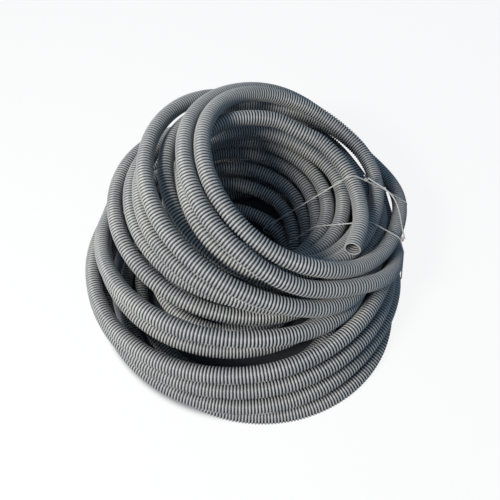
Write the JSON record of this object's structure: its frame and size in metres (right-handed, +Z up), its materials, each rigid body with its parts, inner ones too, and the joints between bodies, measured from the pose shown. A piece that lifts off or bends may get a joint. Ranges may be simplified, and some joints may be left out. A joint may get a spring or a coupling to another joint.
{
  "type": "ribbed waste hose coil",
  "caption": "Bare length of grey ribbed waste hose for a caravan, wound in a loose leaning coil with an open cut end and gathered at one side by tie cord.",
  "frame": {"origin": "on the floor, under the middle of the coil's outline", "axes": "+Z up out of the coil's open side, +X towards the side that the ties gather, -Y towards the viewer of the picture"},
  "size_m": [0.6575, 0.6612, 0.3437],
  "materials": {
    "hose": "satin grey, fine ribs",
    "tie_cord": "pale thin cord"
  },
  "bodies": {
    "root": {"hose_free_end": "hose", "hose_coil": "hose", "hose_tucked_end": "hose", "tie_far_wrap": "tie_cord", "tie_far_knot": "tie_cord", "tie_near_wrap": "tie_cord", "tie_near_knot": "tie_cord", "tie_link": "tie_cord", "tie_tail": "tie_cord"}
  },
  "joints": []
}
